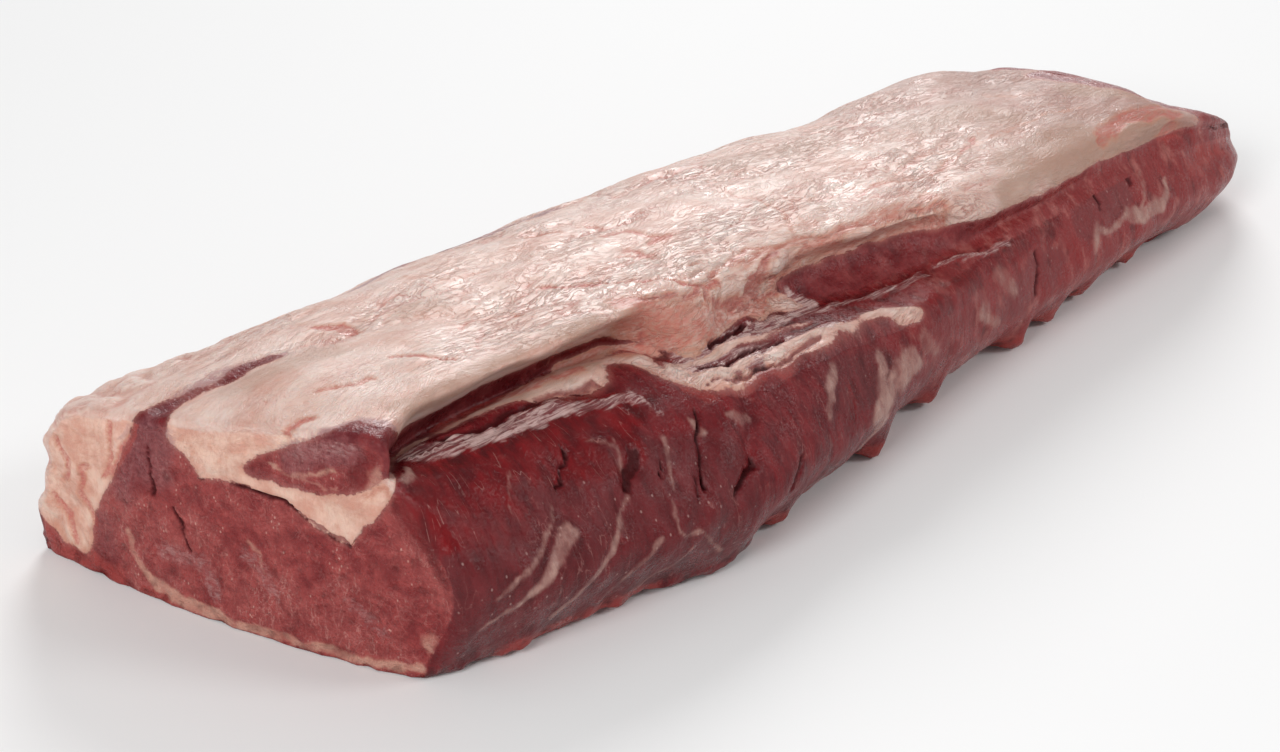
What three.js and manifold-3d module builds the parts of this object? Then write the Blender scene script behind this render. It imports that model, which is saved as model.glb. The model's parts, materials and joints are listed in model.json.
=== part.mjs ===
// Whole raw boneless beef striploin, lying on its lean side with the fat cap up.
//
// Millimetres, +Z up. Stations run along the length from the near cut face (0) to
// the far tip. Guide rails run along the stations and carry every cross-section of
// the outer skin; the fat cap, the narrow lean strip under its edge, the fat seam
// and the fat ledge are cut out of that one skin by coarse blanks, and the main
// muscle is what stays. CLEARANCE keeps a narrow gap between neighbours.
import * as THREE from 'three';
import { mergeVertices } from 'three/addons/utils/BufferGeometryUtils.js';
import Module from 'manifold-3d';

const wasm = await Module();
wasm.setup();

// ---- Driving dimensions ------------------------------------------------------

const CLEARANCE = 0.4; // measured square to a section, so a little less on slopes
const SHEAR = Math.tan(THREE.MathUtils.degToRad(16)); // slant of the near cut face
const SHEAR_FADE = 160; // station where the sections have turned square
const SKIN_PITCH = 6.4; // spacing of the skin's stations
const CAP_PITCH = 18; // spacing of the cap blank's stations
const STRIP_PITCH = 11; // and of the narrow blanks'
const RAIL_END = 446; // the last station that the rails describe
const FOOT_TUCK = 8; // the foot lies this far inside the lower edge
const FACE_DOME = { depth: 7, reach: 25, halfWidth: 76, height: 75 };
const TIP = { from: 430, to: 500, y: -20, z: 16, sideRound: 2.3, topRound: 1.55, rings: 9 };
const OUTSIDE = { left: 112, right: -118, above: 112 }; // clear of the skin
const FLAT_BELOW = 0.5; // skin points lower than this belong to the flat underside

// Guide rails of the skin as [station, y, z] knots, from the lower right edge up
// over the shelf and the fat cap to the left side.
const RAILS = {
  low: [[0, -77, 11], [30, -82, 9], [90, -89, 9], [125, -97, 9], [150, -92, 9], [200, -84, 9],
    [305, -67, 9], [373, -63, 9], [407, -57, 10], [446, -59, 10]],
  bulge: [[0, -86, 36], [30, -92, 34], [60, -96, 32], [120, -103, 30], [170, -98, 29],
    [230, -87, 27], [300, -76, 25], [380, -71, 24], [410, -66, 24], [446, -64, 24]],
  ledge: [[0, -72, 62], [45, -66, 62], [100, -73, 60], [150, -80, 56], [190, -77, 54],
    [220, -76, 51], [243, -80, 49], [297, -70, 46], [369, -63, 42], [446, -56, 38]],
  ridge: [[0, -63, 68], [20, -52, 66], [45, -47, 66], [100, -47, 66], [130, -56, 64],
    [150, -70, 59], [190, -64, 56], [243, -70, 52], [300, -64, 50], [446, -54, 42]],
  trough: [[0, -60, 70], [20, -41, 64], [70, -36, 63], [125, -38, 63], [137, -54, 62],
    [150, -64, 60], [171, -57, 59], [204, -51, 55], [254, -60, 53], [313, -58, 52], [446, -52, 45]],
  lip: [[0, -60, 77], [16, -48, 73], [34, -42, 72], [119, -38, 69], [131, -42, 67],
    [152, -60, 62], [175, -50, 62], [228, -45, 62], [281, -55, 60], [309, -60, 59],
    [377, -55, 54], [446, -50, 47]],
  rim: [[0, -57, 82], [30, -48, 82], [100, -50, 82], [200, -46, 73], [300, -57, 67],
    [400, -52, 60], [446, -52, 52]],
  crown: [[0, -27, 78], [40, -20, 82], [100, -20, 81], [300, -22, 71], [420, -22, 60],
    [446, -22, 51]],
  middle: [[0, 6, 70], [40, 12, 76], [100, 12, 77], [300, 12, 69], [420, 10, 57], [446, 10, 47]],
  flank: [[0, 36, 65], [40, 42, 69], [100, 42, 70], [220, 42, 67], [328, 36, 62], [364, 40, 61],
    [420, 38, 50], [446, 36, 39]],
  shoulder: [[0, 67, 54], [20, 75, 50], [48, 73, 50], [91, 65, 52], [160, 65, 53],
    [225, 60, 53], [286, 58, 52], [328, 51, 52], [364, 54, 50], [400, 50, 45], [446, 40, 30]],
  left: [[0, 74, 30], [20, 80, 28], [48, 80, 28], [91, 74, 28], [160, 74, 28], [225, 69, 28],
    [286, 67, 28], [328, 61, 27], [364, 63, 26], [408, 59, 23], [446, 48, 20]],
  leftFoot: [[0, 76, 0], [23, 78, 0], [91, 72, 0], [286, 63, 0], [328, 57, 0], [364, 60, 0],
    [408, 59, 0], [446, 52, 0]],
};

// Spans of the section outline: how many pieces lie between a rail and the next.
const SPANS = [2, 3, 4, 2, 3, 2, 2, 3, 3, 3, 3, 3, 3, 3];

// Underside of the fat cap as [y, z] profiles, from left of the skin to near the
// right lip. Near the cut face it leaves a valley for the main muscle to come up.
const CAP_UNDERSIDE = [
  { at: 0, points: [[112, 24], [75, 19], [57, 5], [52, 23], [42, 42], [34, 60], [32, 96],
    [22, 96], [20, 60], [8, 52], [-4, 56], [-14, 65], [-36, 78]] },
  { at: 24, points: [[112, 24], [76, 19], [60, 6], [54, 23], [40, 42], [27, 57], [24, 96],
    [18, 96], [16, 59], [8, 55], [-4, 58], [-14, 64], [-32, 70]] },
  { at: 42, points: [[112, 24], [75, 19], [60, 8], [52, 24], [38, 42], [24, 57], [19, 79],
    [14, 79], [12, 60], [6, 58], [-4, 60], [-14, 62], [-30, 68]] },
  { at: 60, points: [[112, 26], [73, 22], [60, 12], [52, 26], [38, 43], [25, 55], [21, 57],
    [16, 58], [12, 59], [6, 59], [-4, 60], [-14, 62], [-30, 68]] },
  { at: 110, points: [[112, 55], [66, 54], [60, 51], [52, 52], [38, 55], [24, 59], [20, 60],
    [14, 61], [12, 61], [6, 61], [-4, 61], [-14, 63], [-28, 66]] },
  { at: 200, points: [[112, 52], [64, 51], [58, 48], [50, 50], [38, 54], [24, 57], [20, 58],
    [14, 59], [12, 59], [6, 59], [-4, 59], [-14, 60], [-34, 62]] },
  { at: 380, points: [[112, 34], [62, 34], [56, 36], [48, 41], [36, 48], [24, 52], [20, 53],
    [14, 54], [12, 54], [6, 55], [-4, 56], [-14, 56], [-42, 54]] },
  { at: 418, points: [[112, 40], [58, 40], [52, 43], [44, 46], [34, 50], [24, 53], [20, 54],
    [14, 55], [12, 55], [6, 56], [-4, 57], [-14, 56], [-38, 51]] },
  { at: 446, points: [[112, 66], [58, 66], [52, 66], [44, 66], [34, 65], [24, 64], [20, 63],
    [14, 62], [12, 62], [6, 61], [-4, 60], [-14, 57], [-40, 47]] },
  { at: 470, points: [[112, 70], [58, 72], [52, 72], [44, 73], [34, 73], [24, 73], [20, 73],
    [14, 73], [12, 73], [6, 72], [-4, 72], [-14, 70], [-40, 66]] },
];
const CAP_EDGE_INSET = 1; // the underside meets the lip this far in from the rail
const CAP_OPENING = { to: 20, y: -46, z: 88, outerZ: 98 }; // bare corner at the cut face
const CAP_TIP_LIFT = { from: 444, to: 474, by: 24 }; // the cap's edge runs out here

// Floor of the lean strip under the cap's edge, as offsets from the trough rail.
const STRIP_FLOOR = [
  { at: 0, points: [[60, -9], [52, -13], [35, -13], [22, -12], [13, -9], [5, -4]] },
  { at: 20, points: [[40, -3], [34, -6], [26, -7], [18, -6], [10, -5], [4, -2]] },
  { at: 60, points: [[34, 1], [26, -3], [18, -4], [12, -4], [7, -3], [3, -2]] },
  { at: 150, points: [[58, 4], [48, -1], [34, -4], [22, -4], [12, -3], [4, -1]] },
  { at: 300, points: [[48, 8], [38, 1], [26, -3], [17, -4], [10, -3], [4, -1]] },
  { at: 336, points: [[48, 24], [38, 20], [26, 17], [17, 15], [10, 13], [4, 12]] },
];
const STRIP_END = 336;
const STRIP_EXIT = [[-1, 0.3], [-5.5, 8]]; // leaves the skin beside the trough

// Floor of the fat seam below that strip, as offsets from the trough rail. The last
// point is where the seam's edge shows on the shelf.
const SEAM_FLOOR = [
  { at: 0, points: [[68, -19], [55, -18], [36, -17], [24, -25], [14, -28], [8, -19], [1, -11],
    [-3, -3]] },
  { at: 30, points: [[42, -4], [34, -8], [24, -11], [14, -12], [6, -11], [1, -9], [-2, -5],
    [-5, 1]] },
  { at: 62, points: [[36, -3], [28, -7], [20, -8], [10, -8], [2, -7], [-4, -5], [-7, -2],
    [-9, 3]] },
  { at: 104, points: [[36, -3], [28, -7], [16, -8], [4, -7], [-8, -5], [-15, -4], [-19, -2],
    [-22, 2]] },
  { at: 118, points: [[36, 6], [28, 4], [16, 3], [4, 4], [-6, 5], [-10, 6], [-12, 7],
    [-14, 9]] },
];
const SEAM_END = 118;
const SEAM_EXIT = [-3, 9]; // from the seam's last point up through the skin
const EXIT_SIDE = 8; // blanks rise this far beside their exit

// Fat ledge along the shoulder of the side: its centre line and half section.
const LEDGE_LINE = [[122, -56, 64.5], [134, -69, 61.5], [146, -77, 58], [160, -80, 56],
  [190, -77, 54], [220, -76, 51], [242, -80, 49]];
const [LEDGE_FROM, LEDGE_TO] = [LEDGE_LINE[0][0], LEDGE_LINE[LEDGE_LINE.length - 1][0]];
const LEDGE_SECTION = [[-8, 6], [-6, -2.5], [3, -4.5], [7, -1.5], [3, 7]];
const LEDGE_TAPER = { length: 14, smallest: 0.35 };

// Relief on the skin.
const CREASES = [
  { at: 42, depth: 1.2, width: 4 },
  { at: 73, depth: 2.0, width: 4.5 },
  { at: 115, depth: 2.0, width: 5 },
  { at: 139, depth: 1.6, width: 4.5 },
];
const CREASE_SLANT = 1.25; // stations per millimetre of height
const CREASE_MID = { z: 45, halfHeight: 17 };
const FINGERS = [[28, 2], [59, 1.5], [74, 1.5], [164, 2], [220, 5], [260, 4], [316, 5],
  [342, 2], [367, 1.5], [402, 2]]; // [station, height] of the rib-finger bumps
const FINGER_WIDTH = 5.5;
const FINGER_BAND = { z: 6, halfHeight: 9 };
const VALLEY = { fromY: 28, toY: 14, length: 48, fullUntil: 0.5, depth: 2.4, width: 5.5 };
const NODULES = { reach: 62, height: 1.4, pitch: 21, pitchZ: 15 };
const WAVES = [[0.5, 0.042, 0.09, 0.4], [0.35, 0.11, -0.12, 1.9], [0.25, 0.18, 0.24, 4.1]];
const SIDE_RIGHT_OF = -45; // where each kind of relief lies
const TOP_ABOVE = 50;
const LUMP_LEFT_OF = 55;
const LUMP_ABOVE = 6;

// ---- Curves along the stations -----------------------------------------------

// Cubic through [station, ...values] knots, with the slope limited so that it
// never overshoots between two knots.
function along(knots, station, column) {
  const last = knots.length - 1;
  if (station <= knots[0][0]) return knots[0][column];
  if (station >= knots[last][0]) return knots[last][column];
  const i = knots.findIndex((knot) => knot[0] > station) - 1;
  const step = (k) => knots[k + 1][0] - knots[k][0];
  const rise = (k) => (knots[k + 1][column] - knots[k][column]) / step(k);
  const slope = (k) => {
    if (k === 0) return rise(0);
    if (k === last) return rise(last - 1);
    const before = rise(k - 1);
    const after = rise(k);
    return before * after <= 0 ? 0 : (2 * before * after) / (before + after);
  };
  const h = step(i);
  const t = (station - knots[i][0]) / h;
  const from = knots[i][column] + t * h * slope(i);
  const to = knots[i + 1][column] - (1 - t) * h * slope(i + 1);
  const blend = t * t * (3 - 2 * t);
  return from + (to - from) * blend;
}

const railPoint = (rail, station) => [1, 2].map((column) => along(rail, station, column));

// The profile at a station, blended between the two profiles around it.
function profileAt(profiles, station) {
  const next = profiles.findIndex((profile) => profile.at > station);
  if (next < 0) return profiles[profiles.length - 1].points;
  if (next === 0) return profiles[0].points;
  const [a, b] = [profiles[next - 1], profiles[next]];
  const t = THREE.MathUtils.smoothstep(station, a.at, b.at);
  return a.points.map(([y, z], i) => [y + (b.points[i][0] - y) * t, z + (b.points[i][1] - z) * t]);
}

// Where a section point lies in space: the near sections are slanted.
function place(station, [y, z]) {
  const slant = SHEAR * (1 - THREE.MathUtils.smoothstep(station, 0, SHEAR_FADE));
  return new THREE.Vector3(station - slant * y, y, z);
}

// ---- Outer skin ----------------------------------------------------------------

const bump = (distance, width) => Math.exp(-((distance / width) ** 2));

function sideRelief(station, z) {
  const band = bump(z - CREASE_MID.z, CREASE_MID.halfHeight);
  let height = 0;
  for (const { at, depth, width } of CREASES) {
    height -= depth * band * bump(station - at - CREASE_SLANT * (z - CREASE_MID.z), width);
  }
  const low = bump(z - FINGER_BAND.z, FINGER_BAND.halfHeight);
  for (const [at, size] of FINGERS) height += size * low * bump(station - at, FINGER_WIDTH);
  return height;
}

function topRelief(station, y) {
  const t = station / VALLEY.length;
  const valleyY = VALLEY.fromY + (VALLEY.toY - VALLEY.fromY) * t;
  const fade = 1 - THREE.MathUtils.smoothstep(t, VALLEY.fullUntil, 1);
  return -VALLEY.depth * fade * bump(y - valleyY, VALLEY.width);
}

function lumpRelief(station, z) {
  const fade = 1 - THREE.MathUtils.smoothstep(station, NODULES.reach / 2, NODULES.reach);
  const onward = Math.cos((2 * Math.PI * station) / NODULES.pitch);
  const up = Math.cos((2 * Math.PI * z) / NODULES.pitchZ);
  return NODULES.height * fade * onward * up;
}

// Height of the relief at one point of the skin, outward from the smooth section.
function relief(station, y, z) {
  let height = 0;
  for (const [size, perStation, perY, phase] of WAVES) {
    height += size * Math.sin(station * perStation + (y + z) * perY + phase);
  }
  if (y < SIDE_RIGHT_OF) height += sideRelief(station, z);
  if (z > TOP_ABOVE) height += topRelief(station, y);
  if (y > LUMP_LEFT_OF && z > LUMP_ABOVE) height += lumpRelief(station, z);
  return height;
}

// Closed outline of the smooth section: a spline through the rails.
function smoothOutline(station) {
  const at = Math.min(station, RAIL_END);
  const rails = Object.values(RAILS).map((rail) => railPoint(rail, at));
  const foot = [rails[0][0] + FOOT_TUCK, 0];
  const keys = [foot, ...rails].map(([y, z]) => new THREE.Vector3(0, y, z));
  const curve = new THREE.CatmullRomCurve3(keys, true, 'centripetal');
  const outline = [];
  SPANS.forEach((count, i) => {
    for (let k = 0; k < count; k += 1) {
      const p = curve.getPoint((i + k / count) / keys.length);
      outline.push([p.y, Math.max(p.z, 0)]);
    }
  });
  return outline;
}

// Pushes each point of an outline out along its normal by the relief there.
function raised(outline, station) {
  const count = outline.length;
  return outline.map(([y, z], i) => {
    if (z < FLAT_BELOW) return [y, 0];
    const [y0, z0] = outline[(i + count - 1) % count];
    const [y1, z1] = outline[(i + 1) % count];
    const length = Math.hypot(y1 - y0, z1 - z0);
    const height = relief(station, y, z);
    const up = (height * (y1 - y0)) / length;
    return [y - (height * (z1 - z0)) / length, Math.max(z + up, FLAT_BELOW)];
  });
}

function tipScale(station, round) {
  const t = THREE.MathUtils.clamp((station - TIP.from) / (TIP.to - TIP.from), 0, 1);
  return (1 - t ** round) ** (1 / round);
}

function faceDome(station, y, z) {
  const near = Math.max(0, 1 - station / FACE_DOME.reach);
  const across = Math.max(0, 1 - (y / FACE_DOME.halfWidth) ** 2);
  const low = THREE.MathUtils.clamp(1 - z / FACE_DOME.height, 0, 1);
  return FACE_DOME.depth * near * across * low;
}

function skinRing(station) {
  const outline = raised(smoothOutline(station), station);
  const wide = tipScale(station, TIP.sideRound);
  const tall = tipScale(station, TIP.topRound);
  return outline.map(([y, z]) => {
    const point = [TIP.y + (y - TIP.y) * wide, TIP.z + (z - TIP.z) * tall];
    const spot = place(station, point);
    spot.x -= faceDome(station, point[0], point[1]);
    return spot;
  });
}

function skinStations() {
  const count = Math.round(TIP.from / SKIN_PITCH);
  const stations = Array.from({ length: count }, (_, i) => (TIP.from * i) / count);
  for (let i = 0; i < TIP.rings; i += 1) {
    stations.push(TIP.from + (TIP.to - TIP.from) * Math.sin((Math.PI / 2) * (i / TIP.rings)));
  }
  return stations;
}

// ---- Closed lofts ----------------------------------------------------------------

const BEND = 1e-4; // how much an end is bent before it is split into triangles
const END_INSET = 0.8; // keeps the gap open at the two ends of a blank
const SHARPEST = 0.4; // limits how far a sharp corner grows

// Triangles of a flat or gently domed end, from the ring's own points. They are
// bent a little for this, so that no three of them are in line and dropped.
function endCap(ring, first, flip) {
  const flat = ring.map((p) => new THREE.Vector2(p.y + BEND * p.z ** 2, p.z - BEND * p.y ** 2));
  const faces = THREE.ShapeUtils.triangulateShape(flat, []);
  return faces.flatMap(([a, b, c]) => (flip ? [a, c, b] : [a, b, c]).map((i) => i + first));
}

// Joins rings of equal length into one closed solid. Rings run clockwise seen from
// +X, and go from low X to high X.
function loft(rings) {
  const width = rings[0].length;
  const positions = rings.flatMap((ring) => ring.flatMap((p) => [p.x, p.y, p.z]));
  const index = [];
  for (let r = 0; r + 1 < rings.length; r += 1) {
    for (let i = 0; i < width; i += 1) {
      const a = r * width + i;
      const b = r * width + ((i + 1) % width);
      index.push(a, a + width, b, b, a + width, b + width);
    }
  }
  index.push(...endCap(rings[0], 0, true));
  index.push(...endCap(rings[rings.length - 1], (rings.length - 1) * width, false));
  return new wasm.Manifold(new wasm.Mesh({
    numProp: 3,
    vertProperties: new Float32Array(positions),
    triVerts: new Uint32Array(index),
  }));
}

const signedArea = (polygon) => polygon.reduce((sum, [y, z], i) => {
  const [yNext, zNext] = polygon[(i + 1) % polygon.length];
  return sum + (y * zNext - yNext * z) / 2;
}, 0);

// Grows a polygon by a distance: each corner moves along the mean of its edges'
// outward normals, far enough to keep the edges parallel.
function grown(polygon, distance) {
  const count = polygon.length;
  return polygon.map(([y, z], i) => {
    const [y0, z0] = polygon[(i + count - 1) % count];
    const [y1, z1] = polygon[(i + 1) % count];
    const before = new THREE.Vector2(z0 - z, y - y0).normalize();
    const after = new THREE.Vector2(z - z1, y1 - y).normalize();
    const mean = before.clone().add(after).normalize();
    const reach = distance / Math.max(mean.dot(before), SHARPEST);
    return [y + mean.x * reach, z + mean.y * reach];
  });
}

// A coarse blank from one polygon for each station, and the same grown by the gap.
// The core's two ends stop short of the grown one's.
function blank(from, to, pitch, polygonAt) {
  const count = Math.ceil((to - from) / pitch);
  const solid = (gap, inset) => loft(Array.from({ length: count + 1 }, (_, i) => {
    const end = i === 0 ? inset : i === count ? -inset : 0;
    const station = from + ((to - from) * i) / count + end;
    const polygon = polygonAt(station);
    const outline = signedArea(polygon) < 0 ? polygon : [...polygon].reverse();
    return grown(outline, gap).map((point) => place(station, point));
  }));
  return { core: solid(0, END_INSET), wide: solid(CLEARANCE, 0) };
}

// ---- Blanks ------------------------------------------------------------------------

const BEFORE_FACE = -34; // starts the blanks clear of the domed cut face

function capPolygon(station) {
  const at = Math.max(station, 0);
  const underside = profileAt(CAP_UNDERSIDE, at);
  const [lipY, lipZ] = railPoint(RAILS.lip, at);
  const t = THREE.MathUtils.smoothstep(at, 0, CAP_OPENING.to);
  const lift = CAP_TIP_LIFT.by * THREE.MathUtils.smoothstep(at, CAP_TIP_LIFT.from, CAP_TIP_LIFT.to);
  const mix = (a, b) => a + (b - a) * t;
  const edge = [mix(CAP_OPENING.y, lipY + CAP_EDGE_INSET), mix(CAP_OPENING.z, lipZ) + lift];
  const outer = [OUTSIDE.right, mix(CAP_OPENING.outerZ, lipZ) + lift];
  const above = [[OUTSIDE.right, OUTSIDE.above], [OUTSIDE.left, OUTSIDE.above]];
  return [...underside, edge, outer, ...above];
}

// Polygon above a floor given as offsets from the trough rail, with its way out.
function floorPolygon(offsets, station) {
  const [troughY, troughZ] = railPoint(RAILS.trough, Math.max(station, 0));
  const points = offsets.map(([y, z]) => [troughY + y, troughZ + z]);
  const [exitY] = points[points.length - 1];
  return [...points, [exitY - EXIT_SIDE, OUTSIDE.above], [points[0][0], OUTSIDE.above]];
}

function stripPolygon(station) {
  const floor = profileAt(STRIP_FLOOR, Math.max(station, 0));
  return floorPolygon([...floor, ...STRIP_EXIT], station);
}

function seamPolygon(station) {
  const floor = profileAt(SEAM_FLOOR, Math.max(station, 0));
  const [y, z] = floor[floor.length - 1];
  return floorPolygon([...floor, [y + SEAM_EXIT[0], z + SEAM_EXIT[1]]], station);
}

function ledgePolygon(station) {
  const [y, z] = railPoint(LEDGE_LINE, station);
  const fromEnd = Math.min(station - LEDGE_FROM, LEDGE_TO - station);
  const grow = THREE.MathUtils.smoothstep(fromEnd, 0, LEDGE_TAPER.length);
  const size = THREE.MathUtils.lerp(LEDGE_TAPER.smallest, 1, grow);
  return LEDGE_SECTION.map(([dy, dz]) => [y + dy * size, z + dz * size]);
}

// ---- The joint ---------------------------------------------------------------------

const COLOURS = {
  fat_cap: { color: 0xdcbfae, roughness: 0.42 },
  cap_muscle: { color: 0x6e2b31, roughness: 0.36 },
  seam_fat: { color: 0xd9b6a1, roughness: 0.45 },
  ledge_fat: { color: 0xd3a894, roughness: 0.45 },
  eye_muscle: { color: 0x8a3a3e, roughness: 0.34 },
};

function meshOf(name, solid) {
  const { vertProperties, triVerts } = solid.getMesh();
  const geometry = new THREE.BufferGeometry();
  geometry.setAttribute('position', new THREE.BufferAttribute(vertProperties, 3));
  geometry.setIndex(new THREE.BufferAttribute(triVerts, 1));
  const merged = mergeVertices(geometry);
  merged.computeVertexNormals();
  const material = new THREE.MeshStandardMaterial({ metalness: 0, ...COLOURS[name] });
  const mesh = new THREE.Mesh(merged, material);
  mesh.name = name;
  return mesh;
}

function buildJoint() {
  const skin = loft(skinStations().map(skinRing));
  const cap = blank(BEFORE_FACE, TIP.to, CAP_PITCH, capPolygon);
  const ledge = blank(LEDGE_FROM, LEDGE_TO, STRIP_PITCH, ledgePolygon);
  const strip = blank(BEFORE_FACE, STRIP_END, STRIP_PITCH, stripPolygon);
  const seam = blank(BEFORE_FACE, SEAM_END, STRIP_PITCH, seamPolygon);

  const solids = { fat_cap: skin.intersect(cap.core) };
  let rest = skin.subtract(cap.wide);
  for (const [name, cutter] of [['ledge_fat', ledge], ['cap_muscle', strip], ['seam_fat', seam]]) {
    solids[name] = rest.intersect(cutter.core);
    rest = rest.subtract(cutter.wide);
  }
  solids.eye_muscle = rest;

  const group = new THREE.Group();
  for (const [name, solid] of Object.entries(solids)) group.add(meshOf(name, solid));
  const centre = new THREE.Box3().setFromObject(group).getCenter(new THREE.Vector3());
  group.position.set(-centre.x, -centre.y, 0);
  group.updateMatrixWorld(true);
  return group;
}

const striploin = buildJoint();
striploin.name = 'striploin';

export default striploin;
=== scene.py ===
"""Looks of a whole raw boneless beef striploin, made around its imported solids.

Sizes below are in millimetres, in the joint's own coordinates: station along the length from
the near cut face, y across and z up. The shared frame is in metres.
"""

import json
import math

import bmesh
import bpy
import numpy as np
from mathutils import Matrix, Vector
from mathutils.bvhtree import BVHTree
from mathutils.geometry import delaunay_2d_cdt
from mathutils.kdtree import KDTree


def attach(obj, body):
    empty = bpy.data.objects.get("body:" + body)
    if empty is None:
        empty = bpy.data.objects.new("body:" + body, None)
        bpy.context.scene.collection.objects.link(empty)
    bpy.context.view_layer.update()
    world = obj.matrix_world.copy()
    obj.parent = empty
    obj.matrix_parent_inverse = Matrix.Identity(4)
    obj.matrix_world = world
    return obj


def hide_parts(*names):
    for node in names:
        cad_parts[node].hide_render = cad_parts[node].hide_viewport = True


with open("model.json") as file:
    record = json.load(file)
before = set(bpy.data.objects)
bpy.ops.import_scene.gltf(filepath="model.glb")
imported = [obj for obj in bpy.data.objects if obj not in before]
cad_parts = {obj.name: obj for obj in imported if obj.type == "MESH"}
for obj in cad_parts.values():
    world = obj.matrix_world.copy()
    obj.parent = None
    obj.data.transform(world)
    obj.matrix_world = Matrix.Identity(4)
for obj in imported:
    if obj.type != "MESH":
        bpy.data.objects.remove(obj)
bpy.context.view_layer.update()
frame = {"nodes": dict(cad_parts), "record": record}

# ---- The joint's form ----

MM = 0.001
CENTRE = np.array([-238.3306, 9.8139, 0.0])  # from the joint's own coordinates to the frame's
SHEAR = math.tan(math.radians(16))
SHEAR_FADE = 160
RAIL_END = 446
FOOT_TUCK = 8
DOME_DEPTH, DOME_REACH, DOME_HALF_WIDTH, DOME_HEIGHT = 7, 25, 76, 75
TIP_FROM, TIP_TO, TIP_Y, TIP_Z, TIP_SIDE_ROUND, TIP_TOP_ROUND = 430, 500, -20, 16, 2.3, 1.55
TIP_SHARE = 0.9848  # how far round the tip the last ring lies

RAILS = [  # [station, y, z] knots, from the lower right edge over the top to the left side
    [[0, -77, 11], [30, -82, 9], [90, -89, 9], [125, -97, 9], [150, -92, 9], [200, -84, 9],
     [305, -67, 9], [373, -63, 9], [407, -57, 10], [446, -59, 10]],
    [[0, -86, 36], [30, -92, 34], [60, -96, 32], [120, -103, 30], [170, -98, 29],
     [230, -87, 27], [300, -76, 25], [380, -71, 24], [410, -66, 24], [446, -64, 24]],
    [[0, -72, 62], [45, -66, 62], [100, -73, 60], [150, -80, 56], [190, -77, 54],
     [220, -76, 51], [243, -80, 49], [297, -70, 46], [369, -63, 42], [446, -56, 38]],
    [[0, -63, 68], [20, -52, 66], [45, -47, 66], [100, -47, 66], [130, -56, 64],
     [150, -70, 59], [190, -64, 56], [243, -70, 52], [300, -64, 50], [446, -54, 42]],
    [[0, -60, 70], [20, -41, 64], [70, -36, 63], [125, -38, 63], [137, -54, 62],
     [150, -64, 60], [171, -57, 59], [204, -51, 55], [254, -60, 53], [313, -58, 52],
     [446, -52, 45]],
    [[0, -60, 77], [16, -48, 73], [34, -42, 72], [119, -38, 69], [131, -42, 67],
     [152, -60, 62], [175, -50, 62], [228, -45, 62], [281, -55, 60], [309, -60, 59],
     [377, -55, 54], [446, -50, 47]],
    [[0, -57, 82], [30, -48, 82], [100, -50, 82], [200, -46, 73], [300, -57, 67],
     [400, -52, 60], [446, -52, 52]],
    [[0, -27, 78], [40, -20, 82], [100, -20, 81], [300, -22, 71], [420, -22, 60],
     [446, -22, 51]],
    [[0, 6, 70], [40, 12, 76], [100, 12, 77], [300, 12, 69], [420, 10, 57], [446, 10, 47]],
    [[0, 36, 65], [40, 42, 69], [100, 42, 70], [220, 42, 67], [328, 36, 62], [364, 40, 61],
     [420, 38, 50], [446, 36, 39]],
    [[0, 67, 54], [20, 75, 50], [48, 73, 50], [91, 65, 52], [160, 65, 53], [225, 60, 53],
     [286, 58, 52], [328, 51, 52], [364, 54, 50], [400, 50, 45], [446, 40, 30]],
    [[0, 74, 30], [20, 80, 28], [48, 80, 28], [91, 74, 28], [160, 74, 28], [225, 69, 28],
     [286, 67, 28], [328, 61, 27], [364, 63, 26], [408, 59, 23], [446, 48, 20]],
    [[0, 76, 0], [23, 78, 0], [91, 72, 0], [286, 63, 0], [328, 57, 0], [364, 60, 0],
     [408, 59, 0], [446, 52, 0]],
]

# Points between a guide rail and the next, and spacing of the rings along the length.
SPANS = [7, 21, 25, 11, 10, 8, 8, 26, 28, 26, 26, 18, 16, 40]
PITCH_NEAR, PITCH_FAR = 1.05, 1.9
TIP_RINGS = 30
FACE_PITCH, ROW_SHARE, RIM_SHARE = 1.2, 0.866, 0.55  # rows apart and gap to the rim, in pitches
RIM_STATIONS = [0.25, 0.7, 1.3, 2.1]
RIM_ROUND, RIM_SIDE_ROUND = 2.4, 3.2  # radius of the rim, and what the lean side adds

CREASES = [(42, 1.2, 4), (73, 2.0, 4.5), (115, 2.0, 5), (139, 1.6, 4.5)]  # station, depth, width
CREASE_SLANT, CREASE_Z, CREASE_HALF = 1.25, 45, 17
FINGERS = [(28, 2), (59, 1.5), (74, 1.5), (164, 2), (220, 5), (260, 4), (316, 5), (342, 2),
           (367, 1.5), (402, 2)]  # station and size
FINGER_WIDTH, FINGER_Z, FINGER_HALF = 5.5, 6, 9
# Height, turn for each millimetre along and across, and phase.
WAVES = [(0.5, 0.042, 0.09, 0.4), (0.35, 0.11, -0.12, 1.9), (0.25, 0.18, 0.24, 4.1)]
NEAR_Y, LEFT_Y, TOP_Z = -45, 55, 50  # where the near side, the left side and the top begin
FOOT_FADE = 4  # the relief fades out over this height above the foot
VALLEY_DEPTH, VALLEY_WIDTH, VALLEY_END = 2.4, 5.5, 48
LUMP_HEIGHT, LUMP_LONG, LUMP_HIGH, LUMPS_FADE, LUMPS_Z = 0.7, 21, 15, (31, 62), 6


def smoothstep(x, low, high):
    t = np.clip((x - low) / (high - low), 0, 1)
    return t * t * (3 - 2 * t)


def bump(distance, width):
    return np.exp(-((distance / width) ** 2))


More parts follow.
